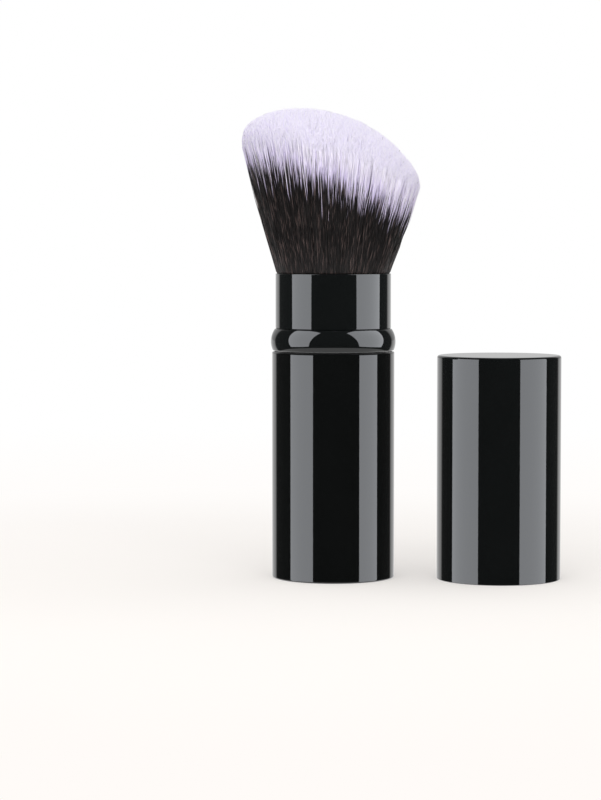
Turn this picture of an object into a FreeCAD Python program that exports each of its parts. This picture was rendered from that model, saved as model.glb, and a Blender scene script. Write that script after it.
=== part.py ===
import FreeCAD, Part
import math
import os

import Sketcher

# Retractable kabuki brush, in millimetres.
# +Z is up, the brush's axis is Z, and the origin is the centre of the handle's base.
# The brush stands open, and its cap stands mouth down at its right.

doc = FreeCAD.newDocument("kabuki_brush")
sheet = doc.addObject("Spreadsheet::Sheet", "Sizes")

# Sizes that are set by themselves, piece by piece
driving = [
    ("handle_diameter", 30.0),
    ("handle_height", 55.5),
    ("handle_wall", 0.5),
    ("handle_base_radius", 0.4),
    ("handle_base_inner", 0.3),
    ("handle_rim_share", 0.75),
    ("glue_gap", 0.05),
    ("bush_height", 5.0),
    ("slide_gap", 0.12),
    ("drag_cord", 0.8),
    ("drag_gap", 0.05),
    ("drag_drop", 2.5),
    ("flange_height", 2.0),
    ("flange_gap", 0.6),
    ("post_diameter", 10.0),
    ("post_wall", 1.5),
    ("post_roof", 3.0),
    ("post_ledge", 1.0),
    ("post_head_height", 5.0),
    ("rib_count", 4),
    ("rib_turn", 45.0),
    ("rib_width", 1.2),
    ("rib_height", 8.0),
    ("rib_reach", 5.5),
    ("ferrule_diameter", 24.0),
    ("ferrule_height", 14.0),
    ("ferrule_wall", 0.4),
    ("ferrule_drop", 3.6),
    ("ferrule_gap", 0.4),
    ("glue_depth", 4.0),
    ("tube_wall", 0.9),
    ("tube_recess", 5.9),
    ("tube_end_lip", 1.0),
    ("tube_foot_gap", 5.7),
    ("collar_seat_gap", 0.3),
    ("stop_clearance", 0.2),
    ("stop_gap", 0.1),
    ("stop_height", 3.0),
    ("stop_groove", 0.3),
    ("stop_fit", 0.1),
    ("stop_slit", 1.5),
    ("neck_diameter", 28.3),
    ("neck_height", 13.6),
    ("neck_wall", 0.45),
    ("neck_rim_radius", 0.15),
    ("bead_diameter", 30.6),
    ("bead_height", 5.2),
    ("bead_arc", 5.4),
    ("bead_rise", 2.15),
    ("bead_shoulder", 0.3),
    ("bead_lip", 0.25),
    ("cap_diameter", 30.3),
    ("cap_height", 54.7),
    ("cap_wall", 0.45),
    ("cap_edge_radius", 0.6),
    ("cap_rim_radius", 0.15),
    ("cap_aside", 40.5),
    ("cap_forward", 3.2),
    ("cap_fit", 0.05),
    ("liner_height", 16.0),
    ("liner_recess", 0.4),
    ("liner_chamfer", 0.2),
    ("hair_gap", 0.3),
    ("hair_spill", 0.9),
    ("flare_height", 46.0),
    ("flare_radius", 28.0),
    ("flare_lean", 1.75),
    ("crown_radius", 30.8),
    ("crown_aside", 7.0),
    ("crown_rise", 10.0),
    ("crown_edge", 3.5),
]

# Sizes that follow from them
derived = [
    ("handle_outer", "handle_diameter / 2"),
    ("handle_inner", "handle_outer - handle_wall"),
    ("handle_rim_radius", "handle_wall * handle_rim_share"),
    ("handle_rim_inner", "handle_wall - handle_rim_radius"),
    ("handle_rim_level", "handle_height - handle_rim_radius"),
    ("ferrule_outer", "ferrule_diameter / 2"),
    ("ferrule_inner", "ferrule_outer - ferrule_wall"),
    ("ferrule_floor", "handle_height - ferrule_drop"),
    ("ferrule_top", "ferrule_floor + ferrule_height"),
    ("tube_inner", "ferrule_outer + ferrule_gap"),
    ("tube_outer", "tube_inner + tube_wall"),
    ("bush_outer", "handle_inner - glue_gap"),
    ("bush_inner", "tube_outer + slide_gap"),
    ("bush_floor", "handle_height - bush_height"),
    ("drag_thickness", "drag_cord / 2"),
    ("drag_centre", "tube_outer + drag_gap + drag_thickness"),
    ("drag_level", "handle_height - drag_drop"),
    ("groove_outer", "drag_centre + drag_thickness + glue_gap"),
    ("groove_floor", "drag_level - drag_thickness - glue_gap"),
    ("groove_roof", "drag_level + drag_thickness + glue_gap"),
    ("flange_outer", "handle_inner - flange_gap"),
    ("flange_top", "handle_wall + flange_height"),
    ("post_outer", "post_diameter / 2"),
    ("post_inner", "post_outer - post_wall"),
    ("post_bore_top", "ferrule_floor - post_roof"),
    ("ledge_floor", "ferrule_floor - post_ledge"),
    ("head_outer", "ferrule_inner - glue_gap"),
    ("head_top", "ferrule_floor + post_head_height"),
    ("glue_top", "head_top + glue_depth"),
    ("rib_top", "flange_top + rib_height"),
    ("rib_outer", "post_outer + rib_reach"),
    ("stop_outer", "handle_inner - stop_gap"),
    ("stop_inner", "tube_outer - stop_groove + stop_fit"),
    ("tube_floor", "flange_top + tube_foot_gap"),
    ("groove_bottom", "tube_floor + tube_end_lip"),
    ("stop_floor", "groove_bottom + stop_fit"),
    ("stop_top", "stop_floor + stop_height"),
    ("groove_top", "stop_top + stop_fit"),
    ("stop_turn", "360 - asin(stop_slit / stop_outer) / 1deg"),
    ("groove_inner", "tube_outer - stop_groove"),
    ("collar_travel", "bush_floor - stop_top - stop_clearance"),
    ("bead_outer", "bead_diameter / 2"),
    ("bead_centre", "bead_outer - bead_arc"),
    ("bead_floor", "handle_height + collar_seat_gap"),
    ("bead_top", "bead_floor + bead_height"),
    ("bead_level", "bead_floor + bead_rise"),
    ("neck_outer", "neck_diameter / 2"),
    ("neck_inner", "neck_outer - neck_wall"),
    ("neck_top", "bead_top + neck_height"),
    ("neck_rim_level", "neck_top - neck_rim_radius"),
    ("tube_top", "neck_top - tube_recess"),
    ("tube_shoulder", "neck_inner - glue_gap"),
    ("waist_reach", "neck_outer - bead_centre"),
    ("waist_span", "bead_arc - bead_shoulder"),
    ("waist_rise", "sqrt(waist_span ^ 2 - waist_reach ^ 2)"),
    ("waist_level", "bead_level + waist_rise + bead_shoulder"),
    ("swell_share", "bead_arc / waist_span"),
    ("swell_outer", "bead_centre + waist_reach * swell_share"),
    ("swell_level", "bead_level + waist_rise * swell_share"),
    ("bead_inner_arc", "bead_arc - neck_wall"),
    ("waist_inner_reach", "neck_inner - bead_centre"),
    ("waist_inner_level", "bead_level + sqrt(bead_inner_arc ^ 2 - waist_inner_reach ^ 2)"),
    ("lip_span", "bead_arc - bead_lip"),
    ("lip_drop", "bead_rise - bead_lip"),
    ("lip_reach", "sqrt(lip_span ^ 2 - lip_drop ^ 2)"),
    ("lip_centre", "bead_centre + lip_reach"),
    ("lip_share", "bead_arc / lip_span"),
    ("lip_outer", "bead_centre + lip_reach * lip_share"),
    ("lip_level", "bead_level - lip_drop * lip_share"),
    ("lip_inner", "tube_outer + glue_gap"),
    ("fold_level", "bead_floor + neck_wall"),
    ("fold_drop", "bead_rise - neck_wall"),
    ("fold_outer", "bead_centre + sqrt(bead_inner_arc ^ 2 - fold_drop ^ 2)"),
    ("cap_outer", "cap_diameter / 2"),
    ("cap_inner", "cap_outer - cap_wall"),
    ("cap_roof", "cap_height - cap_wall"),
    ("cap_edge_inner", "cap_edge_radius - cap_wall"),
    ("liner_outer", "cap_inner - glue_gap"),
    ("liner_inner", "neck_outer + cap_fit"),
    ("liner_top", "liner_recess + liner_height"),
    ("hair_root", "ferrule_inner - glue_gap"),
    ("hair_throat", "tube_inner - hair_gap"),
    ("hair_mouth", "neck_inner - hair_gap"),
    ("hair_spread", "neck_outer - glue_gap"),
    ("spill_level", "neck_top + hair_spill"),
    ("flare_top", "neck_top + flare_height"),
    ("crown_level", "neck_top + crown_rise"),
    ("crown_foot_height", "crown_level - head_top"),
]

for row, (alias, value) in enumerate(driving, start=1):
    sheet.set(f"A{row}", alias)
    sheet.set(f"B{row}", str(value))
    sheet.setAlias(f"B{row}", alias)
for row, (alias, formula) in enumerate(derived, start=1):
    sheet.set(f"C{row}", alias)
    sheet.set(f"D{row}", f"={formula}")
    sheet.setAlias(f"D{row}", alias)
doc.recompute()

names = {alias for alias, entry in driving + derived}


def bound(formula):
    """Writes a formula of sheet names, spaced word by word, as one of the document."""
    return " ".join(f"Sizes.{word}" if word in names else word for word in formula.split())


def number(formula):
    return float(sheet.evalExpression(bound(formula)))


def bind(thing, slot, formula):
    thing.setExpression(slot, bound(formula))


def origin_part(body, role):
    """The plane or axis of a body's own origin with the given role."""
    return next(part for part in body.Origin.OriginFeatures if part.Role == role)


def pin(sketch, line, end, kind, formula):
    """Holds one end of a line at a distance across or up from the sketch's origin."""
    if formula == "0":
        axis = {"DistanceX": -2, "DistanceY": -1}[kind]
        sketch.addConstraint(Sketcher.Constraint("PointOnObject", line, end, axis))
        return
    rule = Sketcher.Constraint(kind, -1, 1, line, end, number(formula))
    bind(sketch, f"Constraints[{sketch.addConstraint(rule)}]", formula)


def arc_between(start, stop, radius, side):
    """An arc from start to stop that bulges to the right (side 1) or left (side -1)."""
    chord = stop - start
    across = FreeCAD.Vector(chord.y, -chord.x, 0).normalize()
    bulge = radius - math.sqrt(max(radius**2 - (chord.Length / 2) ** 2, 0))
    return Part.Arc(start, start + chord / 2 + across * (bulge * side), stop)


def draw(body, corners):
    """Draws a closed outline across a body's XZ plane. A corner is (across, up), or
    (across, up, radius, side) where the line that ends there is an arc."""
    sketch = body.newObject("Sketcher::SketchObject", f"{body.Label}_outline")
    sketch.AttachmentSupport = (origin_part(body, "XZ_Plane"), [""])
    sketch.MapMode = "FlatFace"
    places = [FreeCAD.Vector(number(corner[0]), number(corner[1]), 0) for corner in corners]
    ends = []
    for index, corner in enumerate(corners):
        start, stop = places[index - 1], places[index]
        line = Part.LineSegment(start, stop)
        if len(corner) > 2:
            line = arc_between(start, stop, number(corner[2]), corner[3])
        line = sketch.addGeometry(line)
        here, there = sketch.getPoint(line, 1), sketch.getPoint(line, 2)
        forward = here.distanceToPoint(start) < there.distanceToPoint(start)
        ends.append((line, 1, 2) if forward else (line, 2, 1))
    for index, (line, first, last) in enumerate(ends):
        before, _, joint = ends[index - 1]
        sketch.addConstraint(Sketcher.Constraint("Coincident", before, joint, line, first))
        corner = corners[index]
        pin(sketch, line, last, "DistanceX", corner[0])
        pin(sketch, line, last, "DistanceY", corner[1])
        if len(corner) > 2:
            rule = Sketcher.Constraint("Radius", line, number(corner[2]))
            bind(sketch, f"Constraints[{sketch.addConstraint(rule)}]", corner[2])
    return sketch


def turned(label, corners, turn="360"):
    """A body turned about the brush's axis."""
    body = doc.addObject("PartDesign::Body", label)
    sketch = draw(body, corners)
    spin = body.newObject("PartDesign::Revolution", f"{label}_turned")
    spin.Profile = sketch
    spin.ReferenceAxis = (sketch, ["V_Axis"])
    bind(spin, "Angle", turn)
    return body


def stand_aside(thing):
    """Moves a piece of the cap to where the cap stands."""
    bind(thing, "Placement.Base.x", "cap_aside")
    bind(thing, "Placement.Base.y", "0 - cap_forward")


# Handle: a drawn aluminium cup, its rim rounded on both sides, more on the outside
handle_shell = turned(
    "handle_shell",
    [
        ("0", "0"),
        ("handle_outer - handle_base_radius", "0"),
        ("handle_outer", "handle_base_radius", "handle_base_radius", 1),
        ("handle_outer", "handle_rim_level"),
        ("handle_outer - handle_rim_radius", "handle_height", "handle_rim_radius", 1),
        ("handle_inner", "handle_height - handle_rim_inner", "handle_rim_inner", 1),
        ("handle_inner", "handle_wall + handle_base_inner"),
        ("handle_inner - handle_base_inner", "handle_wall", "handle_base_inner", -1),
        ("0", "handle_wall"),
    ],
)

# Guide bush: a plastic ring in the handle's mouth, grooved inside for the drag ring
guide_bush = turned(
    "guide_bush",
    [
        ("bush_inner", "bush_floor"),
        ("bush_outer", "bush_floor"),
        ("bush_outer", "handle_height"),
        ("bush_inner", "handle_height"),
        ("bush_inner", "groove_roof"),
        ("groove_outer", "groove_roof"),
        ("groove_outer", "groove_floor"),
        ("bush_inner", "groove_floor"),
    ],
)

# Drag ring: a rubber cord ring that holds the collar where it is put
drag_ring = doc.addObject("Part::Torus", "drag_ring")
bind(drag_ring, "Radius1", "drag_centre")
bind(drag_ring, "Radius2", "drag_thickness")
bind(drag_ring, "Placement.Base.z", "drag_level")

# Core post: a cored column on a flange, with ribs at its foot and a head for the ferrule
core_post = turned(
    "core_post",
    [
        ("post_inner", "handle_wall"),
        ("flange_outer", "handle_wall"),
        ("flange_outer", "flange_top"),
        ("post_outer", "flange_top"),
        ("post_outer", "ledge_floor"),
        ("ferrule_outer", "ledge_floor"),
        ("ferrule_outer", "ferrule_floor"),
        ("head_outer", "ferrule_floor"),
        ("head_outer", "head_top"),
        ("0", "head_top"),
        ("0", "post_bore_top"),
        ("post_inner", "post_bore_top"),
    ],
)
rib_outline = draw(
    core_post,
    [
        ("post_inner", "flange_top"),
        ("rib_outer", "flange_top"),
        ("post_outer", "rib_top"),
        ("post_inner", "rib_top"),
    ],
)
rib = core_post.newObject("PartDesign::Pad", "rib")
rib.Profile = rib_outline
rib.Midplane = True
bind(rib, "Length", "rib_width")
ribs = core_post.newObject("PartDesign::PolarPattern", "ribs")
ribs.Originals = [rib]
ribs.Axis = (origin_part(core_post, "Z_Axis"), [""])
bind(ribs, "Occurrences", "rib_count")
core_post.Tip = ribs
bind(core_post, "Placement.Rotation.Angle", "rib_turn")

# Ferrule: the aluminium tube that holds the hair, glued over the post's head
ferrule = turned(
    "ferrule",
    [
        ("ferrule_inner", "ferrule_floor"),
        ("ferrule_outer", "ferrule_floor"),
        ("ferrule_outer", "ferrule_top"),
        ("ferrule_inner", "ferrule_top"),
    ],
)

# Glue plug: the resin that the roots of the hair are set in
glue_plug = turned(
    "glue_plug",
    [
        ("0", "head_top"),
        ("hair_root", "head_top"),
        ("hair_root", "glue_top"),
        ("0", "glue_top"),
    ],
)

# Hair: straight in the ferrule, then flaring to a domed top that slants down to the right
hair_rings = [
    ("hair_root", "glue_top", "0"),
    ("hair_root", "ferrule_top", "0"),
    ("hair_throat", "tube_top", "0"),
    ("hair_mouth", "neck_top", "0"),
    ("hair_spread", "spill_level", "0"),
    ("flare_radius", "flare_top", "flare_lean"),
]
sections = []
for radius, level, lean in hair_rings:
    ring = doc.addObject("Part::Circle", "hair_ring")
    bind(ring, "Radius", radius)
    bind(ring, "Placement.Base.x", lean)
    bind(ring, "Placement.Base.z", level)
    sections.append(ring)
flare = doc.addObject("Part::Loft", "flare")
flare.Sections = sections
flare.Solid = True
flare.Ruled = True
crown = doc.addObject("Part::Sphere", "crown")
bind(crown, "Radius", "crown_radius")
bind(crown, "Placement.Base.x", "0 - crown_aside")
bind(crown, "Placement.Base.z", "crown_level")
crown_foot = doc.addObject("Part::Cylinder", "crown_foot")
bind(crown_foot, "Radius", "crown_radius")
bind(crown_foot, "Height", "crown_foot_height")
bind(crown_foot, "Placement.Base.x", "0 - crown_aside")
bind(crown_foot, "Placement.Base.z", "head_top")
dome = doc.addObject("Part::Fuse", "dome")
dome.Base = crown
dome.Tool = crown_foot
trimmed_hair = doc.addObject("Part::Common", "trimmed_hair")
trimmed_hair.Base = flare
trimmed_hair.Tool = dome
doc.recompute()


def is_crown_edge(shape, edge):
    """Whether an edge lies between the ball of the crown and the flare below it."""
    faces = shape.ancestorsOfType(edge, Part.Face)
    balls = [isinstance(face.Surface, Part.Sphere) for face in faces]
    return any(balls) and not all(balls)


hair_edges = trimmed_hair.Shape.Edges
rounded = [i + 1 for i, edge in enumerate(hair_edges) if is_crown_edge(trimmed_hair.Shape, edge)]
bristles = doc.addObject("Part::Fillet", "bristles")
bristles.Base = trimmed_hair
bristles.Edges = [(index, number("crown_edge"), number("crown_edge")) for index in rounded]

# Collar: a drawn aluminium neck, swelling at its foot to a rolled bead that the fingers push
collar_shell = turned(
    "collar_shell",
    [
        ("lip_inner", "bead_floor"),
        ("lip_centre", "bead_floor"),
        ("lip_outer", "lip_level", "bead_lip", 1),
        ("swell_outer", "swell_level", "bead_arc", 1),
        ("neck_outer", "waist_level", "bead_shoulder", 1),
        ("neck_outer", "neck_rim_level"),
        ("neck_outer - neck_rim_radius", "neck_top", "neck_rim_radius", 1),
        ("neck_inner + neck_rim_radius", "neck_top"),
        ("neck_inner", "neck_rim_level", "neck_rim_radius", 1),
        ("neck_inner", "waist_inner_level"),
        ("fold_outer", "fold_level", "bead_inner_arc", -1),
        ("lip_inner", "fold_level"),
    ],
)

# Slide tube: the plastic tube in the collar, which runs in the guide bush
slide_tube = turned(
    "slide_tube",
    [
        ("tube_inner", "tube_floor"),
        ("tube_outer", "tube_floor"),
        ("tube_outer", "groove_bottom"),
        ("groove_inner", "groove_bottom"),
        ("groove_inner", "groove_top"),
        ("tube_outer", "groove_top"),
        ("tube_outer", "fold_level"),
        ("tube_shoulder", "fold_level"),
        ("tube_shoulder", "tube_top"),
        ("tube_inner", "tube_top"),
    ],
)

# Stop ring: a split snap ring near the tube's foot, which the bush stops
stop_ring = turned(
    "stop_ring",
    [
        ("stop_inner", "stop_floor"),
        ("stop_outer", "stop_floor"),
        ("stop_outer", "stop_top"),
        ("stop_inner", "stop_top"),
    ],
    "stop_turn",
)

# Cap: a drawn aluminium cup, standing mouth down
cap_shell = turned(
    "cap_shell",
    [
        ("cap_inner + cap_rim_radius", "0", "cap_rim_radius", 1),
        ("cap_outer - cap_rim_radius", "0"),
        ("cap_outer", "cap_rim_radius", "cap_rim_radius", 1),
        ("cap_outer", "cap_height - cap_edge_radius"),
        ("cap_outer - cap_edge_radius", "cap_height", "cap_edge_radius", 1),
        ("0", "cap_height"),
        ("0", "cap_roof"),
        ("cap_inner - cap_edge_inner", "cap_roof"),
        ("cap_inner", "cap_roof - cap_edge_inner", "cap_edge_inner", -1),
        ("cap_inner", "cap_rim_radius"),
    ],
)

# Cap liner: the plastic sleeve in the cap's mouth that grips the neck
cap_liner = turned(
    "cap_liner",
    [
        ("liner_inner + liner_chamfer", "liner_recess"),
        ("liner_outer", "liner_recess"),
        ("liner_outer", "liner_top"),
        ("liner_inner + liner_chamfer", "liner_top"),
        ("liner_inner", "liner_top - liner_chamfer"),
        ("liner_inner", "liner_recess + liner_chamfer"),
    ],
)
stand_aside(cap_shell)
stand_aside(cap_liner)
doc.recompute()

pieces = [
    handle_shell,
    guide_bush,
    drag_ring,
    core_post,
    ferrule,
    glue_plug,
    bristles,
    collar_shell,
    slide_tube,
    stop_ring,
    cap_shell,
    cap_liner,
]

for thing in doc.Objects:
    if {"Invalid", "Error"} & set(thing.State):
        raise RuntimeError(f"{thing.Label} failed: {thing.State}")
for piece in pieces:
    if piece.Shape.isNull() or not piece.Shape.isValid():
        raise RuntimeError(f"{piece.Label} has no valid shape")
    if len(piece.Shape.Solids) != 1:
        raise RuntimeError(f"{piece.Label} is {len(piece.Shape.Solids)} solids")

os.makedirs("parts", exist_ok=True)
for piece in pieces:
    piece.Shape.exportStep(f"parts/{piece.Label}.step")
    print(piece.Label, round(piece.Shape.Volume, 1), "mm3")
print("The collar travels", round(number("collar_travel"), 2), "mm")
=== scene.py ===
import math

import bmesh
import bpy
import numpy as np
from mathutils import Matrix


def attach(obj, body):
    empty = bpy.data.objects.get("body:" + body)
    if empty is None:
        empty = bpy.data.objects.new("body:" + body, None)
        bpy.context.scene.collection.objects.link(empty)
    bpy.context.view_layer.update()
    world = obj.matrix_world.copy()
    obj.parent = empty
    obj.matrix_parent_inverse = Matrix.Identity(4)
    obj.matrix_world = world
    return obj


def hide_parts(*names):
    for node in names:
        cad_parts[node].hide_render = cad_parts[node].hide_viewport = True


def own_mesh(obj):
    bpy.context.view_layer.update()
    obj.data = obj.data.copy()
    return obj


# A retractable kabuki brush and its cap, in metres, in the frame of its CAD model.
# +Z is up, +X is to the right and +Y is away from the viewer. The brush's axis is Z.
# It stands open, and its cap stands mouth down at its right. Profiles are in millimetres.
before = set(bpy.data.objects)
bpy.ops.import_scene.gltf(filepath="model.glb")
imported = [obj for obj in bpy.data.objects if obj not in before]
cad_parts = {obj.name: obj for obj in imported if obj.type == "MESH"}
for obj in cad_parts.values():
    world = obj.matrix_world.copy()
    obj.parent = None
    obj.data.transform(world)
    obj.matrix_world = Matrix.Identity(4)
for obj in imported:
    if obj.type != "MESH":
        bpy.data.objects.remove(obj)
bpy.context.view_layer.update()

# Camera: in front of the brush, a little to its left and at about three quarters of its
# height, looking down by three and a half degrees through a long lens.
LOOKS_DOWN = 3.51
camera_data = bpy.data.cameras.new("camera")
camera_data.sensor_width = 36
camera_data.lens = 124.1
camera = bpy.data.objects.new("camera", camera_data)
camera.location = (-0.00803, -0.676, 0.085)
camera.rotation_euler = (math.radians(90 - LOOKS_DOWN), 0, 0)
bpy.context.scene.collection.objects.link(camera)
bpy.context.scene.camera = camera
bpy.context.scene.view_settings.view_transform = "Standard"


# Floor: a round sheet of matt warm white board. A part of its look is plain white, so that
# the shadows on it stay faint, and it fades to the background away from the brush. Gloss
# doesn't see it, which keeps the black shells black down to their bases.
def add(tree, kind, inputs=None, **settings):
    """Adds a node. An input is given a value, or the output of another node as its link."""
    node = tree.nodes.new(f"ShaderNode{kind}")
    for name, value in settings.items():
        setattr(node, name, value)
    for name, value in (inputs or {}).items():
        if isinstance(value, bpy.types.NodeSocket):
            tree.links.new(value, node.inputs[name])
        else:
            node.inputs[name].default_value = value
    return node


def hex_colour(code):
    """The linear colour of an sRGB hex value."""
    parts = [int(code[i : i + 2], 16) / 255 for i in (1, 3, 5)]
    linear = [p / 12.92 if p <= 0.04045 else ((p + 0.055) / 1.055) ** 2.4 for p in parts]
    return (*linear, 1)


def new_material(name):
    """A new material and its shader, with nothing linked to the shader yet."""
    material = bpy.data.materials.new(name)
    material.use_nodes = True
    return material, material.node_tree, material.node_tree.nodes["Principled BSDF"]


def in_scene(name, mesh, material):
    """Puts a mesh in the scene as an object that stands at the origin."""
    thing = bpy.data.objects.new(name, mesh)
    mesh.materials.clear()
    mesh.materials.append(material)
    bpy.context.scene.collection.objects.link(thing)
    return thing


BOARD_RADIUS, BOARD_DROP = 4, 0.00005
PLAIN_SHARE, FADE_BEGINS, FADE_ENDS, WARM_REACH = 0.4, 0.07, 0.24, 0.5
floor_board, tree, shader = new_material("matt_white_board")
spot = add(tree, "TexCoord").outputs["Object"]
grain = add(tree, "TexNoise", {"Vector": spot, "Scale": 9.0, "Detail": 3.0})
tint = add(
    tree,
    "Mix",
    {0: grain.outputs["Fac"], 6: hex_colour("#efebe7"), 7: hex_colour("#f2efeb")},
    data_type="RGBA",
)
shader.inputs["Roughness"].default_value = 0.9
shader.inputs["Specular IOR Level"].default_value = 0.1
tree.links.new(tint.outputs[2], shader.inputs["Base Color"])
away = add(tree, "VectorMath", {0: spot}, operation="LENGTH").outputs["Value"]
fade = add(
    tree,
    "MapRange",
    {"Value": away, "From Min": FADE_BEGINS, "From Max": FADE_ENDS, "To Min": PLAIN_SHARE},
    interpolation_type="SMOOTHSTEP",
)
# The white is seen by the camera, and by metal and glass, but gives matt surfaces no light
rays = add(tree, "LightPath").outputs
seen = add(
    tree, "Math", {0: rays["Is Camera Ray"], 1: rays["Is Glossy Ray"]}, operation="MAXIMUM"
)
seen = add(
    tree, "Math", {0: seen.outputs[0], 1: rays["Is Transmission Ray"]}, operation="MAXIMUM"
)
share = add(tree, "Math", {0: seen.outputs[0], 1: fade.outputs[0]}, operation="MULTIPLY")
# It is warm in front of the brush, and turns to pure white over WARM_REACH behind it
behind = add(tree, "SeparateXYZ", {0: spot}).outputs["Y"]
behind = add(tree, "MapRange", {"Value": behind, "From Max": WARM_REACH})
white = add(
    tree,
    "Mix",
    {0: behind.outputs[0], 6: hex_colour("#fffbf8"), 7: hex_colour("#ffffff")},
    data_type="RGBA",
)
white = add(tree, "Emission", {"Color": white.outputs[2], "Strength": 1.0})
both = add(tree, "MixShader", {0: share.outputs[0], 1: shader.outputs[0], 2: white.outputs[0]})
tree.links.new(both.outputs[0], tree.nodes["Material Output"].inputs["Surface"])

shape = bmesh.new()
bmesh.ops.create_circle(shape, cap_ends=True, segments=96, radius=BOARD_RADIUS)
bmesh.ops.translate(shape, verts=shape.verts, vec=(0, 0, -BOARD_DROP))
mesh = bpy.data.meshes.new("floor")
shape.to_mesh(mesh)
floor = in_scene("floor", mesh, floor_board)
floor.visible_glossy = False

# Background: white to the camera. Gloss sees a white wall behind the brush, which lights
# the edges of the shells and is dimmer above the horizon, a pale floor far below, a white
# ceiling and a dark room.

# Edges go from none to full, in degrees round from straight behind for the wall, and as the
# sine of the height in the sky for the others. FILL is the light that matt surfaces get.
WALL_EDGE, HORIZON = (48, 38), (-0.01, 0.02)
GROUND_EDGE, CEILING_EDGE = (-0.37, -0.42), (0.96, 0.99)
LOW_WALL, HIGH_WALL, GROUND, DARK_ROOM = 1.0, 0.68, 1.2, 0.06
FILL = 0.5
world = bpy.data.worlds.new("studio")
world.use_nodes = True
bpy.context.scene.world = world
tree = world.node_tree
way = add(tree, "SeparateXYZ", {0: add(tree, "TexCoord").outputs["Generated"]})
turn = add(tree, "Math", {0: way.outputs["X"], 1: way.outputs["Y"]}, operation="ARCTAN2")
turn = add(tree, "Math", {0: turn.outputs[0]}, operation="ABSOLUTE")
edge = add(
    tree,
    "MapRange",
    {
        "Value": turn.outputs[0],
        "From Min": math.radians(WALL_EDGE[0]),
        "From Max": math.radians(WALL_EDGE[1]),
    },
    interpolation_type="SMOOTHSTEP",
)
lit_wall = add(
    tree,
    "MapRange",
    {
        "Value": way.outputs["Z"],
        "From Min": HORIZON[0],
        "From Max": HORIZON[1],
        "To Min": LOW_WALL,
        "To Max": HIGH_WALL,
    },
)
wall = add(tree, "Math", {0: edge.outputs[0], 1: lit_wall.outputs[0]}, operation="MULTIPLY")
below = add(
    tree,
    "MapRange",
    {
        "Value": way.outputs["Z"],
        "From Min": GROUND_EDGE[0],
        "From Max": GROUND_EDGE[1],
        "To Max": GROUND,
    },
    interpolation_type="SMOOTHSTEP",
)
above = add(
    tree,
    "MapRange",
    {"Value": way.outputs["Z"], "From Min": CEILING_EDGE[0], "From Max": CEILING_EDGE[1]},
    interpolation_type="SMOOTHSTEP",
)
gloss = add(tree, "Math", {0: wall.outputs[0], 1: below.outputs[0]}, operation="MAXIMUM")
gloss = add(tree, "Math", {0: gloss.outputs[0], 1: above.outputs[0]}, operation="MAXIMUM")
gloss = add(tree, "Math", {0: gloss.outputs[0], 1: DARK_ROOM}, operation="MAXIMUM")
rays = add(tree, "LightPath").outputs
shiny = add(
    tree, "Math", {0: rays["Is Glossy Ray"], 1: rays["Is Transmission Ray"]}, operation="MAXIMUM"
)
level = add(tree, "Mix", {0: shiny.outputs[0], 2: FILL, 3: gloss.outputs[0]}, data_type="FLOAT")
level = add(
    tree, "Mix", {0: rays["Is Camera Ray"], 2: level.outputs[0], 3: 1.0}, data_type="FLOAT"
)
sky = tree.nodes["Background"]
sky.inputs["Color"].default_value = (1, 1, 1, 1)
tree.links.new(level.outputs[0], sky.inputs["Strength"])

# Studio lamps: a wide softbox overhead and one in front light everything but the black
# shells. Each shell has two softboxes of its own at its sides, and their reflections are
# the pale stripes that run down it.
OWN_AWAY, OWN_RADIANCE, COOL_WHITE = 0.5, 4.5, (0.96, 0.99, 1.04)
black_shells = bpy.data.collections.new("black_shells")


def softbox(name, radiance, width, height, place, turned, lit, colour=(1, 1, 1)):
    """A flat lamp of even brightness. It lights what the collection lit includes, or all but
    what that excludes."""
    lamp = bpy.data.lights.new(name, "AREA")
    lamp.shape = "RECTANGLE"
    lamp.size = width
    lamp.size_y = height
    lamp.energy = radiance * math.pi * width * height
    lamp.color = colour
    box = bpy.data.objects.new(name, lamp)
    box.location = place
    box.rotation_euler = [math.radians(angle) for angle in turned]
    box.visible_camera = False
    box.light_linking.receiver_collection = lit
    bpy.context.scene.collection.objects.link(box)


def own_lamps(shell, middle, left, right):
    """Keeps the room's lamps off a shell and stands two softboxes OWN_AWAY from its middle.
    Each has a direction from the viewer's and a lean over the shell, in degrees, then its
    width and how far it reaches down and up its slope, in metres."""
    black_shells.objects.link(shell)
    black_shells.collection_objects[-1].light_linking.link_state = "EXCLUDE"
    own = bpy.data.collections.new(f"{shell.name}_lit")
    own.objects.link(shell)
    for side, (turned, leaning, width, low, high) in (("left", left), ("right", right)):
        turn, lean = math.radians(turned), math.radians(leaning)
        away = (math.sin(turn), -math.cos(turn))
        outward = (math.cos(lean) * away[0], math.cos(lean) * away[1], math.sin(lean))
        slope = (-math.sin(lean) * away[0], -math.sin(lean) * away[1], math.cos(lean))
        up = (low + high) / 2
        softbox(
            f"{shell.name}_{side}_box",
            radiance=OWN_RADIANCE,
            width=width,
            height=high - low,
            place=[middle[i] + OWN_AWAY * outward[i] + up * slope[i] for i in range(3)],
            turned=(90 - leaning, 0, turned),
            lit=own,
            colour=COOL_WHITE,
        )


softbox(
    "overhead_box",
    radiance=1.2,
    width=1.4,
    height=1.4,
    place=(0, 0, 1.1),
    turned=(0, 0, 0),
    lit=black_shells,
)
softbox(
    "front_box",
    radiance=2.4,
    width=1.4,
    height=0.9,
    place=(-0.08, -1.0, 0.5),
    turned=(66, 0, -4.6),
    lit=black_shells,
)


# Handle: a deep-drawn aluminium cup, black anodised, then dipped in clear gloss lacquer.
# Its rim is rounded on both sides, and its base is rolled over a small radius.
# Outlines are in millimetres, and a finished edge is sharp from SHARP_FROM degrees up
MM = 0.001
END_STEP = 0.1
MERGE_WITHIN = 1e-5
SHARP_FROM = 35


def start(x, z):
    """A new outline at x and z, in millimetres from the axis and the floor."""
    outline = bmesh.new()
    return outline, outline.verts.new((x, 0, z))


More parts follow.
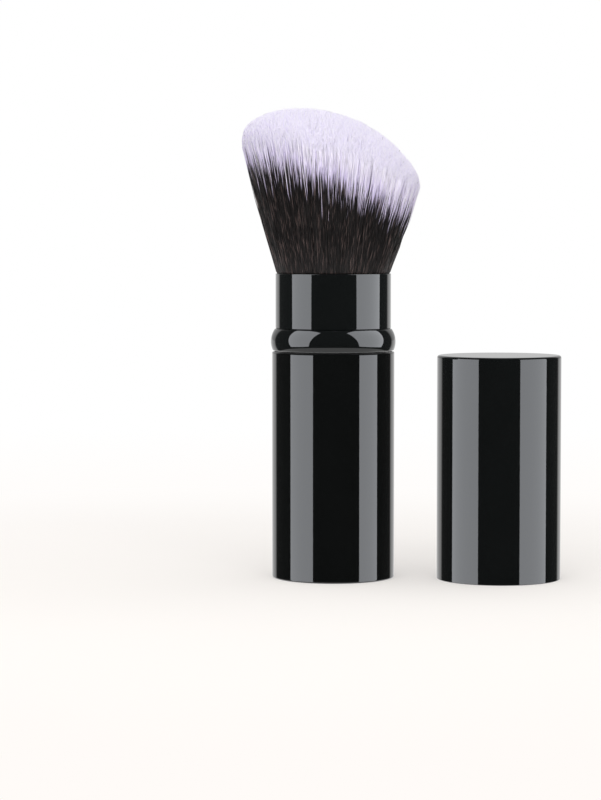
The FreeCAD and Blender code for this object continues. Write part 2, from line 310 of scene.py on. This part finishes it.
def straight(outline, pen, x, z):
    """Draws the outline on to x and z. A short step at each end of a long wall keeps it
    flat there."""
    reach = math.hypot(x - pen.co.x, z - pen.co.z)
    begin = pen.co.copy()
    for share in (END_STEP / reach, 1 - END_STEP / reach, 1) if reach > 5 * END_STEP else (1,):
        pen = bmesh.ops.extrude_vert_indiv(outline, verts=[pen])["verts"][0]
        pen.co = (begin.x + (x - begin.x) * share, 0, begin.z + (z - begin.z) * share)
    return pen


def bend(outline, pen, x, z, degrees, steps=8):
    """Draws the outline on round x and z, anticlockwise as seen from the front."""
    arc = bmesh.ops.spin(
        outline, geom=[pen], cent=(x, 0, z), axis=(0, -1, 0), angle=math.radians(degrees), steps=steps
    )
    return next(part for part in arc["geom_last"] if isinstance(part, bmesh.types.BMVert))


def turned_piece(name, outline, material, x=0.0, y=0.0, segments=224):
    """Turns an outline round the axis into a closed piece, and stands it at x and y."""
    bmesh.ops.remove_doubles(outline, verts=outline.verts, dist=MERGE_WITHIN)
    bmesh.ops.spin(
        outline,
        geom=outline.verts[:] + outline.edges[:],
        axis=(0, 0, 1),
        angle=math.tau,
        steps=segments,
        use_merge=True,
    )
    bmesh.ops.remove_doubles(outline, verts=outline.verts, dist=MERGE_WITHIN)
    bmesh.ops.recalc_face_normals(outline, faces=outline.faces)
    bmesh.ops.translate(outline, verts=outline.verts, vec=(x, y, 0))
    bmesh.ops.scale(outline, verts=outline.verts, vec=(MM, MM, MM))
    mesh = bpy.data.meshes.new(name)
    outline.to_mesh(mesh)
    outline.free()
    mesh.shade_smooth()
    mesh.set_sharp_from_angle(angle=math.radians(SHARP_FROM))
    return in_scene(name, mesh, material)


# Near-black dye under 20 micrometres of lacquer. The lacquer gives the mirror gloss of
# IOR 1.5, with orange peel about 1.2 mm across and a few faint smears from handling.
DYE_CLOUD, SMEAR, ORANGE_PEEL = 14, 5, 1.2
black_lacquer, tree, shader = new_material("lacquered_black_anodised_aluminium")
spot = add(tree, "TexCoord").outputs["Object"]
dye = add(tree, "TexNoise", {"Vector": spot, "Scale": 1000 / DYE_CLOUD, "Detail": 2.0})
dyed = add(
    tree,
    "Mix",
    {0: dye.outputs["Fac"], 6: hex_colour("#070909"), 7: hex_colour("#0c0e0e")},
    data_type="RGBA",
)
smears = add(tree, "TexNoise", {"Vector": spot, "Scale": 1000 / SMEAR, "Detail": 4.0})
rough = add(tree, "MapRange", {"Value": smears.outputs["Fac"], "To Min": 0.02, "To Max": 0.055})
peel = add(tree, "TexNoise", {"Vector": spot, "Scale": 1000 / ORANGE_PEEL, "Detail": 1.0})
bump = add(tree, "Bump", {"Strength": 0.015, "Distance": 0.0001, "Height": peel.outputs["Fac"]})
tree.links.new(dyed.outputs[2], shader.inputs["Base Color"])
tree.links.new(rough.outputs[0], shader.inputs["Roughness"])
tree.links.new(bump.outputs[0], shader.inputs["Normal"])

HANDLE_RADIUS, HANDLE_HEIGHT, HANDLE_WALL = 15, 55.5, 0.5
BASE_ROLL, BASE_ROLL_INSIDE, RIM_ROLL = 0.4, 0.3, 0.375
handle_inside = HANDLE_RADIUS - HANDLE_WALL
rim_roll_inside = HANDLE_WALL - RIM_ROLL
roll_top = HANDLE_WALL + BASE_ROLL_INSIDE
outline, pen = start(0, 0)
pen = straight(outline, pen, HANDLE_RADIUS - BASE_ROLL, 0)
pen = bend(outline, pen, HANDLE_RADIUS - BASE_ROLL, BASE_ROLL, 90)
pen = straight(outline, pen, HANDLE_RADIUS, HANDLE_HEIGHT - RIM_ROLL)
pen = bend(outline, pen, HANDLE_RADIUS - RIM_ROLL, HANDLE_HEIGHT - RIM_ROLL, 90)
pen = bend(outline, pen, HANDLE_RADIUS - RIM_ROLL, HANDLE_HEIGHT - rim_roll_inside, 90)
pen = straight(outline, pen, handle_inside, roll_top)
pen = bend(outline, pen, handle_inside - BASE_ROLL_INSIDE, roll_top, -90)
pen = straight(outline, pen, 0, HANDLE_WALL)
handle_cup = turned_piece("handle_cup", outline, black_lacquer)
handle_cup.visible_glossy = False
own_lamps(
    handle_cup,
    middle=(0, 0, 0.03),
    left=(-62.95, 0, 0.453, -0.3, 0.04),
    right=(69.0, 0, 0.366, -0.3, 0.04),
)
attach(handle_cup, "handle")
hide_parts("handle_shell")


# Core post: an injection-moulded ABS column, glued by its flange to the handle's floor.
# It is satin black, and its mould was spark-eroded, which leaves a fine even grain.
def refinish(node_name, material):
    """Gives a CAD node the material in every slot, and keeps it out of the shells' gloss."""
    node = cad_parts[node_name]
    node.visible_glossy = False
    if not node.material_slots:
        node.data.materials.append(material)
    for place in node.material_slots:
        place.material = material


# The grain is 0.05 mm in the real moulding, and it is drawn at 0.2 mm so that it shows.
PLASTIC_FLOW, SPARK_GRAIN = 9, 0.2
black_plastic, tree, shader = new_material("moulded_black_abs")
spot = add(tree, "TexCoord").outputs["Object"]
flow = add(tree, "TexNoise", {"Vector": spot, "Scale": 1000 / PLASTIC_FLOW, "Detail": 2.0})
tone = add(
    tree,
    "Mix",
    {0: flow.outputs["Fac"], 6: hex_colour("#161617"), 7: hex_colour("#202022")},
    data_type="RGBA",
)
grain = add(tree, "TexNoise", {"Vector": spot, "Scale": 1000 / SPARK_GRAIN, "Detail": 1.0})
rough = add(tree, "MapRange", {"Value": grain.outputs["Fac"], "To Min": 0.36, "To Max": 0.52})
bump = add(tree, "Bump", {"Strength": 0.12, "Distance": 0.00005, "Height": grain.outputs["Fac"]})
tree.links.new(tone.outputs[2], shader.inputs["Base Color"])
tree.links.new(rough.outputs[0], shader.inputs["Roughness"])
tree.links.new(bump.outputs[0], shader.inputs["Normal"])
refinish("core_post", black_plastic)

# Ferrule: a drawn and trimmed aluminium tube, left plain, glued over the post's head.
# Trimming in a lathe leaves fine lines round it, 0.05 mm apart, drawn here at 0.25 mm.
TURNED_LINE, LINE_LENGTH = 0.25, 25
plain_aluminium, tree, shader = new_material("turned_plain_aluminium")
spot = add(tree, "TexCoord").outputs["Object"]
round_and_up = (1000 / LINE_LENGTH, 1000 / LINE_LENGTH, 1000 / TURNED_LINE)
along = add(tree, "Mapping", {"Vector": spot, "Scale": round_and_up})
lines = add(tree, "TexNoise", {"Vector": along.outputs[0], "Scale": 1.0, "Detail": 2.0})
rough = add(tree, "MapRange", {"Value": lines.outputs["Fac"], "To Min": 0.22, "To Max": 0.42})
tone = add(
    tree,
    "Mix",
    {0: lines.outputs["Fac"], 6: hex_colour("#bfc0c2"), 7: hex_colour("#d9dadb")},
    data_type="RGBA",
)
bump = add(tree, "Bump", {"Strength": 0.1, "Distance": 0.00003, "Height": lines.outputs["Fac"]})
shader.inputs["Metallic"].default_value = 1.0
tree.links.new(tone.outputs[2], shader.inputs["Base Color"])
tree.links.new(rough.outputs[0], shader.inputs["Roughness"])
tree.links.new(bump.outputs[0], shader.inputs["Normal"])
refinish("ferrule", plain_aluminium)

# Glue plug: epoxy resin poured round the roots of the hair, amber and a little cloudy,
# with a surface that set smooth.
RESIN_CLOUD = 3
resin, tree, shader = new_material("cast_epoxy_resin")
spot = add(tree, "TexCoord").outputs["Object"]
cloud = add(tree, "TexNoise", {"Vector": spot, "Scale": 1000 / RESIN_CLOUD, "Detail": 3.0})
tone = add(
    tree,
    "Mix",
    {0: cloud.outputs["Fac"], 6: hex_colour("#8d7345"), 7: hex_colour("#b49a69")},
    data_type="RGBA",
)
shader.inputs["Roughness"].default_value = 0.18
shader.inputs["IOR"].default_value = 1.55
tree.links.new(tone.outputs[2], shader.inputs["Base Color"])
refinish("glue_plug", resin)

# Hair: nylon filaments, dyed dark brown and left lilac white for about their last 5 to 9 mm.
# They are straight in the ferrule, spill over the collar's rim and fan out, and their
# tapered tips are set to a dome that slants down to the right.

# Undyed nylon is a pale lilac white, a little deeper where it nears the dye, and the dyed
# part is a glossier black brown with painted glints. Depths are in millimetres below where
# the dye begins.
TINGE_BEGINS, TINGE_FULL, DYE_EDGE = -6.0, -0.5, 1.3
NOISE_COLUMNS, PAINTED_GLINT_LENGTH = 900.0, 5
hair_dye, tree, shader = new_material("two_tone_nylon_filament")
tone = add(tree, "Attribute", attribute_name="strand_tone").outputs["Fac"]
depth = add(tree, "Attribute", attribute_name="dye_depth").outputs["Fac"]
pale = add(
    tree, "Mix", {0: tone, 6: hex_colour("#f0ebfe"), 7: hex_colour("#faf7ff")}, data_type="RGBA"
)
tinged = add(
    tree,
    "MapRange",
    {"Value": depth, "From Min": TINGE_BEGINS, "From Max": TINGE_FULL},
    interpolation_type="SMOOTHSTEP",
)
pale = add(
    tree,
    "Mix",
    {0: tinged.outputs[0], 6: pale.outputs[2], 7: hex_colour("#dfd5f5")},
    data_type="RGBA",
)
# A filament is crimped, and the glints where a flat faces the light are painted: a painted
# highlight of paler brown is mixed into the dye's colour a few millimetres at a time.
# Each strand's tone takes it to a column of the noise of its own.
across = add(tree, "Math", {0: tone, 1: NOISE_COLUMNS}, operation="MULTIPLY")
along = add(tree, "Math", {0: depth, 1: 1 / PAINTED_GLINT_LENGTH}, operation="MULTIPLY")
crimp = add(tree, "CombineXYZ", {"X": across.outputs[0], "Y": along.outputs[0]})
crimp = add(tree, "TexNoise", {"Vector": crimp.outputs[0], "Scale": 1.0, "Detail": 1.0})
painted_glint = add(
    tree,
    "MapRange",
    {"Value": crimp.outputs["Fac"], "From Min": 0.55, "From Max": 0.75},
    interpolation_type="SMOOTHSTEP",
)
# The dye's colour with painted highlights of paler brown mixed in
dark_with_painted_glints = add(
    tree,
    "Mix",
    {0: painted_glint.outputs[0], 6: hex_colour("#141010"), 7: hex_colour("#74625f")},
    data_type="RGBA",
)
dyed = add(
    tree,
    "MapRange",
    {"Value": depth, "From Min": -DYE_EDGE, "From Max": DYE_EDGE},
    interpolation_type="SMOOTHSTEP",
)
colour = add(
    tree, "Mix", {0: dyed.outputs[0], 6: pale.outputs[2], 7: dark_with_painted_glints.outputs[2]}, data_type="RGBA"
)
rough = add(tree, "MapRange", {"Value": dyed.outputs[0], "To Min": 0.6, "To Max": 0.45})
shader.inputs["Specular IOR Level"].default_value = 0.35
tree.links.new(colour.outputs[2], shader.inputs["Base Color"])
tree.links.new(rough.outputs[0], shader.inputs["Roughness"])

# The hair's levels and radii. From SPILL above the collar's RIM the strands fan out by
# FLARE and lean to the right by LEAN, in millimetres for each millimetre up.
RIM, BELOW_RIM = 74.6, 0.25
ROOT_LEVEL, FERRULE_LEVEL = 60.3, 65.9
ROOT_RADIUS, RIM_RADIUS, SPILL_RADIUS, SPILL = 11.3, 13.5, 13.96, 0.45
FLARE, LEAN = 0.308, 0.038
STRAND_RADIUS = 0.065
# Heights above the rim, the power that rounds the dome and the lengths of the pale ends are
# polynomials of how far a strand is to the right, from -1 to 1. The outermost strands are
# trimmed a little shorter.
EDGE_HEIGHT = np.polynomial.Polynomial([30.9, -6.9, -3.5, 2.0])
DOME_HEIGHT = np.polynomial.Polynomial([8.0, -0.6])
DOME_ROUNDING = np.polynomial.Polynomial([0.75, 0.21])
PALE_LENGTH = np.polynomial.Polynomial([9.3, 0.8, -3.6])
TRIM_WIDTH, TRIM_DEPTH = 0.12, 1.2


def tip_height(across, share):
    """How far above the rim a strand ends. share is how far out it grows, of the bundle's
    radius, and across is the part of that to the right."""
    trimmed = np.clip((share - 1 + TRIM_WIDTH) / TRIM_WIDTH, 0, 1) ** 2
    dome = np.clip(1 - share**2, 0, 1) ** DOME_ROUNDING(across)
    return EDGE_HEIGHT(across) - TRIM_DEPTH * trimmed + DOME_HEIGHT(across) * dome


def fanned(spot, height):
    """Where strands are at a height above the rim, from their spots in the bundle."""
    spread = SPILL_RADIUS + FLARE * (height - SPILL)
    to_right = spot[:, 0] * spread + LEAN * (height - SPILL)
    return np.stack([to_right, spot[:, 1] * spread, RIM + height], 1)


def straight_up(spot, radius, level):
    """Where strands are at a level where the bundle is a cylinder."""
    return np.column_stack([spot * radius, np.full(len(spot), level)])


# A strand is three-sided, which looks round at its size
bevel_curve = bpy.data.curves.new("strand_section", "CURVE")
bevel_curve.dimensions = "2D"
section = bevel_curve.splines.new("POLY")
section.points.add(2)
for point, angle in zip(section.points, (90, 330, 210)):
    x = STRAND_RADIUS * MM * math.cos(math.radians(angle))
    y = STRAND_RADIUS * MM * math.sin(math.radians(angle))
    point.co = (x, y, 0, 1)
section.use_cyclic_u = True
strand_section = bpy.data.objects.new("strand_section", bevel_curve)
bpy.context.scene.collection.objects.link(strand_section)
CORNERS = len(section.points)
# On the map each strand has a narrow cell of its own, with its root at the bottom
MAP_COLUMNS = 256
CELL_LEFT, CELL_WIDTH, CELL_FOOT, CELL_HEIGHT = 0.2, 0.6, 0.04, 0.92


def hair_piece(name, paths, widths, dye, tones):
    """Makes one mesh of strands from their points, and keeps on it how deep each point is
    below where the dye begins, and how pale each strand is."""
    count, points, _ = paths.shape
    curve = bpy.data.curves.new(name, "CURVE")
    curve.dimensions = "3D"
    curve.bevel_mode = "OBJECT"
    curve.bevel_object = strand_section
    curve.use_fill_caps = True
    rows = np.ones((count, points, 4), np.float32)
    rows[:, :, :3] = paths * MM
    for row in rows:
        strand = curve.splines.new("POLY")
        strand.points.add(points - 1)
        strand.points.foreach_set("co", row.ravel())
        strand.points.foreach_set("radius", widths)
        strand.use_smooth = True
    grown = bpy.data.objects.new(name, curve)
    bpy.context.scene.collection.objects.link(grown)
    seen = grown.evaluated_get(bpy.context.evaluated_depsgraph_get())
    mesh = bpy.data.meshes.new_from_object(seen)
    bpy.data.objects.remove(grown)
    bpy.data.curves.remove(curve)
    # The ends' vertices come first, from the last strand to the first, tip before root
    ends = np.repeat(np.arange(count)[::-1], 2 * CORNERS)
    strand = np.concatenate([ends, np.repeat(np.arange(count), points * CORNERS)])
    tip_and_root = np.tile(np.repeat([points - 1, 0], CORNERS), count)
    along = np.tile(np.repeat(np.arange(points), CORNERS), count)
    place = np.concatenate([tip_and_root, along])
    for attribute, values in (("dye_depth", dye[strand, place]), ("strand_tone", tones[strand])):
        mesh.attributes.new(attribute, "FLOAT", "POINT")
        mesh.attributes[attribute].data.foreach_set("value", values.astype(np.float32))
    corner = np.zeros(len(mesh.loops), np.int32)
    mesh.loops.foreach_get("vertex_index", corner)
    uv = np.zeros(len(mesh.loops) * 2, np.float32)
    layer = mesh.uv_layers[0]
    layer.data.foreach_get("uv", uv)
    uv = uv.reshape(-1, 2)
    cell_lines = math.ceil(count / MAP_COLUMNS)
    column, line = strand[corner] % MAP_COLUMNS, strand[corner] // MAP_COLUMNS
    up = place[corner] / (points - 1)
    uv[:, 0] = (column + CELL_LEFT + CELL_WIDTH * uv[:, 1]) / MAP_COLUMNS
    uv[:, 1] = (line + CELL_FOOT + CELL_HEIGHT * up) / cell_lines
    layer.data.foreach_set("uv", uv.ravel())
    layer.name = "OFBake"
    closed = bmesh.new()
    closed.from_mesh(mesh)
    bmesh.ops.remove_doubles(closed, verts=closed.verts, dist=1e-7)
    closed.to_mesh(mesh)
    closed.free()
    mesh.name = name
    piece = in_scene(name, mesh, hair_dye)
    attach(piece, "handle")
    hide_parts("bristles")
    return piece


# How uneven the hair is. Lengths are in millimetres, and places are shares of the bundle's
# radius. A few strands stray, and a few have a longer or a shorter pale end.
BLUR_ROUND, BLUR_DEEP = 0.3, 0.2
TUFT_PULL, TUFT_LEAN, STRAND_LEAN = 0.2, 0.012, 0.012
STRAY_LEAN, STRAY_SHARE = 0.05, 0.06
END_SPREAD, FARTHEST_END, CRIMP = 0.006, 1.02, 0.009
TUFT_HEIGHT, SHORT_ENDS = 0.1, 0.5
TUFT_DYE, STRAND_DYE = 0.6, 1.9
LONGER_PALE, LONGER_SHARE, SHORTER_PALE, SHORTER_SHARE = 5, 0.12, 4, 0.15
TAPER_BEGINS, TIP_WIDTH = 0.92, 0.5
random = np.random.default_rng(20)


def grow(name, count, inside, outside, sectors, cells, levels):
    """Grows strands in a ring of the bundle and makes a piece of each sector of it. cells is
    how many tufts there are round and across the ring, and levels is where a strand has its
    points, by name or as a share of its height above the rim."""
    share = np.sqrt(random.uniform(inside**2, outside**2, count))
    turn = random.uniform(0, math.tau, count)
    outward = np.stack([np.cos(turn), np.sin(turn)], 1)
    sideways = np.stack([-np.sin(turn), np.cos(turn)], 1)
    spot = share[:, None] * outward
    round_cell = np.floor(turn / math.tau * cells[0] + random.normal(0, BLUR_ROUND, count)) % cells[0]
    deep_cell = (share - inside) / (outside - inside) * cells[1]
    deep_cell += random.normal(0, BLUR_DEEP, count)
    tuft = np.unique(round_cell * 100 + np.floor(deep_cell), return_inverse=True)[1].ravel()
    size = np.bincount(tuft)
    middle = np.stack([np.bincount(tuft, spot[:, i]) / size for i in (0, 1)], 1)[tuft]
    pull = random.uniform(0, TUFT_PULL, len(size))[tuft, None]
    lean = random.normal(0, TUFT_LEAN, len(size))[tuft] + random.normal(0, STRAND_LEAN, count)
    lean += random.normal(0, STRAY_LEAN, count) * (random.random(count) < STRAY_SHARE)
    tip_spot = spot + pull * (middle - spot) + lean[:, None] * sideways
    tip_spot += random.normal(0, END_SPREAD, (count, 1)) * outward
    reach = np.minimum(np.hypot(*tip_spot.T), FARTHEST_END)
    tip_spot *= (reach / np.hypot(*tip_spot.T))[:, None]
    height = tip_height(tip_spot[:, 0], np.minimum(reach, 1))
    height += random.normal(0, TUFT_HEIGHT, len(size))[tuft]
    height -= np.abs(random.normal(0, SHORT_ENDS, count))
    stations = []
    for level in levels:
        if level == "root":
            stations.append(straight_up(spot, ROOT_RADIUS, ROOT_LEVEL))
        elif level == "ferrule":
            stations.append(straight_up(spot, ROOT_RADIUS, FERRULE_LEVEL))
        elif level == "rim":
            stations.append(straight_up(spot, RIM_RADIUS, RIM - BELOW_RIM))
        elif level == "spill":
            stations.append(fanned(spot, np.full(count, SPILL)))
        else:
            crimp = random.normal(0, CRIMP, spot.shape) * (level < TAPER_BEGINS)
            drawn = spot + level**1.5 * (tip_spot - spot) + crimp
            stations.append(fanned(drawn, height * level))
    paths = np.stack(stations, 1)
    below_tip = np.linalg.norm(paths[:, -1:, :] - paths, axis=2)
    begins = PALE_LENGTH(spot[:, 0]) + random.normal(0, TUFT_DYE, len(size))[tuft]
    begins += random.normal(0, STRAND_DYE, count)
    begins += random.uniform(0, LONGER_PALE, count) * (random.random(count) < LONGER_SHARE)
    begins -= random.uniform(0, SHORTER_PALE, count) * (random.random(count) < SHORTER_SHARE)
    dye = below_tip - begins[:, None]
    tones = random.random(count)
    widths = np.ones(len(levels), np.float32)
    widths[-1] = TIP_WIDTH
    sector = (turn / math.tau * sectors).astype(int) % sectors
    for number in range(sectors):
        here = sector == number
        piece = hair_piece(f"{name}_{number + 1:02d}", paths[here], widths, dye[here], tones[here])
        facing = (number + 0.5) / sectors * math.tau
        outward = (math.cos(facing), math.sin(facing), 0)
        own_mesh(piece)


inner_levels = ("root", "ferrule", "spill", TAPER_BEGINS, 1)
outer_levels = ("root", "ferrule", "rim", "spill", 0.3, 0.6, TAPER_BEGINS, 1)
CORE_SHARE, MIDDLE_SHARE = 0.5, 0.93
grow(
    "hair_core",
    count=9000,
    inside=0.0,
    outside=CORE_SHARE,
    sectors=8,
    cells=(40, 8),
    levels=inner_levels,
)
grow(
    "hair_middle",
    count=24000,
    inside=CORE_SHARE,
    outside=MIDDLE_SHARE,
    sectors=12,
    cells=(300, 9),
    levels=inner_levels,
)
grow(
    "hair_skirt",
    count=17000,
    inside=MIDDLE_SHARE,
    outside=1.0,
    sectors=16,
    cells=(420, 2),
    levels=outer_levels,
)
bpy.data.objects.remove(strand_section)
bpy.data.curves.remove(bevel_curve)

# Guide bush: an injection-moulded ABS ring, glued in the handle's mouth. The tube of the
# collar slides in it.
refinish("guide_bush", black_plastic)

# Drag ring: a cord ring of nitrile rubber, laid in the bush's groove, where it rubs on the
# tube. It is matt, with a faint bloom on it.
BLOOM = 1.5
rubber, tree, shader = new_material("nitrile_rubber_cord")
spot = add(tree, "TexCoord").outputs["Object"]
bloom = add(tree, "TexNoise", {"Vector": spot, "Scale": 1000 / BLOOM, "Detail": 3.0})
tone = add(
    tree,
    "Mix",
    {0: bloom.outputs["Fac"], 6: hex_colour("#151516"), 7: hex_colour("#262626")},
    data_type="RGBA",
)
shader.inputs["Roughness"].default_value = 0.75
tree.links.new(tone.outputs[2], shader.inputs["Base Color"])
refinish("drag_ring", rubber)

# Slide tube: an injection-moulded ABS tube, which is glued in the collar and runs in the
# guide bush.
refinish("slide_tube", black_plastic)

# Collar: a drawn aluminium neck with the handle's finish. Its foot is swelled to a rolled
# bead for the fingers to push on, with a fine crease where the neck rises from its top.
COLLAR_FOOT, FOOT_INSIDE, COLLAR_WALL = 55.8, 13.35, 0.45
BEAD_RADIUS, BEAD_RISE, BEAD_ARC, LIP_ROUND, SHOULDER_ROUND = 15.3, 2.15, 5.4, 0.25, 0.3
NECK_RADIUS, NECK_ROLL = 14.15, 0.15
CREASE_DEPTH, CREASE_FOOT, CREASE_TOP = 0.17, 61.08, 61.32
bead_x, bead_z = BEAD_RADIUS - BEAD_ARC, COLLAR_FOOT + BEAD_RISE
lip_drop, lip_away = BEAD_RISE - LIP_ROUND, BEAD_ARC - LIP_ROUND
lip_x, lip_z = bead_x + math.sqrt(lip_away**2 - lip_drop**2), COLLAR_FOOT + LIP_ROUND
lip_turn = math.degrees(math.acos(lip_drop / lip_away))
shoulder_away = BEAD_ARC - SHOULDER_ROUND
shoulder_rise = math.sqrt(shoulder_away**2 - (NECK_RADIUS - bead_x) ** 2)
shoulder_turn = math.degrees(math.acos(shoulder_rise / shoulder_away))
neck_inside, inner_arc = NECK_RADIUS - COLLAR_WALL, BEAD_ARC - COLLAR_WALL
inner_top = math.degrees(math.acos((neck_inside - bead_x) / inner_arc))
inner_foot = math.degrees(math.asin((BEAD_RISE - COLLAR_WALL) / inner_arc))
inner_top_z = bead_z + inner_arc * math.sin(math.radians(inner_top))
outline, pen = start(FOOT_INSIDE, COLLAR_FOOT)
pen = straight(outline, pen, lip_x, COLLAR_FOOT)
pen = bend(outline, pen, lip_x, lip_z, lip_turn)
pen = bend(outline, pen, bead_x, bead_z, 180 - lip_turn - shoulder_turn, 24)
pen = bend(outline, pen, NECK_RADIUS, bead_z + shoulder_rise, shoulder_turn)
pen = straight(outline, pen, NECK_RADIUS - CREASE_DEPTH, CREASE_FOOT)
pen = straight(outline, pen, NECK_RADIUS, CREASE_TOP)
pen = straight(outline, pen, NECK_RADIUS, RIM - NECK_ROLL)
pen = bend(outline, pen, NECK_RADIUS - NECK_ROLL, RIM - NECK_ROLL, 90)
pen = straight(outline, pen, neck_inside + NECK_ROLL, RIM)
pen = bend(outline, pen, neck_inside + NECK_ROLL, RIM - NECK_ROLL, 90)
pen = straight(outline, pen, neck_inside, inner_top_z)
pen = bend(outline, pen, bead_x, bead_z, -inner_top - inner_foot, 16)
pen = straight(outline, pen, FOOT_INSIDE, COLLAR_FOOT + COLLAR_WALL)
pen = straight(outline, pen, FOOT_INSIDE, COLLAR_FOOT)
collar_neck = turned_piece("collar_neck", outline, black_lacquer)
own_lamps(
    collar_neck,
    middle=(0, 0, 0.06),
    left=(-67.0, 23.5, 0.455, -0.43, 0.33),
    right=(74.8, 21.1, 0.594, -0.4, 0.38),
)
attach(collar_neck, "collar")
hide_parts("collar_shell")

# Stop ring: a split snap ring near the tube's foot, which keeps the collar from coming off.
# It is moulded in natural polypropylene, milky white with a soft gloss, and its fine grain
# is drawn at 0.25 mm so that it shows.
WHITE_FLOW, WHITE_GRAIN = 6, 0.25
white_plastic, tree, shader = new_material("moulded_natural_polypropylene")
spot = add(tree, "TexCoord").outputs["Object"]
flow = add(tree, "TexNoise", {"Vector": spot, "Scale": 1000 / WHITE_FLOW, "Detail": 2.0})
tone = add(
    tree,
    "Mix",
    {0: flow.outputs["Fac"], 6: hex_colour("#e4e3dd"), 7: hex_colour("#eeede8")},
    data_type="RGBA",
)
grain = add(tree, "TexNoise", {"Vector": spot, "Scale": 1000 / WHITE_GRAIN, "Detail": 1.0})
rough = add(tree, "MapRange", {"Value": grain.outputs["Fac"], "To Min": 0.28, "To Max": 0.42})
bump = add(tree, "Bump", {"Strength": 0.08, "Distance": 0.00005, "Height": grain.outputs["Fac"]})
tree.links.new(tone.outputs[2], shader.inputs["Base Color"])
tree.links.new(rough.outputs[0], shader.inputs["Roughness"])
tree.links.new(bump.outputs[0], shader.inputs["Normal"])
refinish("stop_ring", white_plastic)

# Cap: a drawn aluminium cup with the handle's finish. It stands mouth down, so its flat
# end is on top, rounded over a small radius.
CAP_RADIUS, CAP_HEIGHT, CAP_WALL, CAP_EDGE, CAP_RIM = 15.15, 54.7, 0.45, 0.6, 0.15
CAP_X, CAP_Y = 40.5, -3.2
cap_inside = CAP_RADIUS - CAP_WALL
edge_x, edge_z = CAP_RADIUS - CAP_EDGE, CAP_HEIGHT - CAP_EDGE
outline, pen = start(cap_inside, CAP_RIM)
pen = bend(outline, pen, cap_inside + CAP_RIM, CAP_RIM, 90)
pen = straight(outline, pen, CAP_RADIUS - CAP_RIM, 0)
pen = bend(outline, pen, CAP_RADIUS - CAP_RIM, CAP_RIM, 90)
pen = straight(outline, pen, CAP_RADIUS, edge_z)
pen = bend(outline, pen, edge_x, edge_z, 90)
pen = straight(outline, pen, 0, CAP_HEIGHT)
pen = straight(outline, pen, 0, CAP_HEIGHT - CAP_WALL)
pen = straight(outline, pen, edge_x, CAP_HEIGHT - CAP_WALL)
pen = bend(outline, pen, edge_x, edge_z, -90)
pen = straight(outline, pen, cap_inside, CAP_RIM)
cap_cup = turned_piece("cap_cup", outline, black_lacquer, CAP_X, CAP_Y)
cap_cup.visible_glossy = False
own_lamps(
    cap_cup,
    middle=(CAP_X * MM, CAP_Y * MM, 0.03),
    left=(-70.3, 0, 0.543, -0.3, 0.25),
    right=(63.8, 0, 0.553, -0.3, 0.25),
)
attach(cap_cup, "cap")
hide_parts("cap_shell")

# Cap liner: a sleeve moulded in natural polypropylene and glued in the cap's mouth. It
# grips the collar's neck when the cap is on.
refinish("cap_liner", white_plastic)
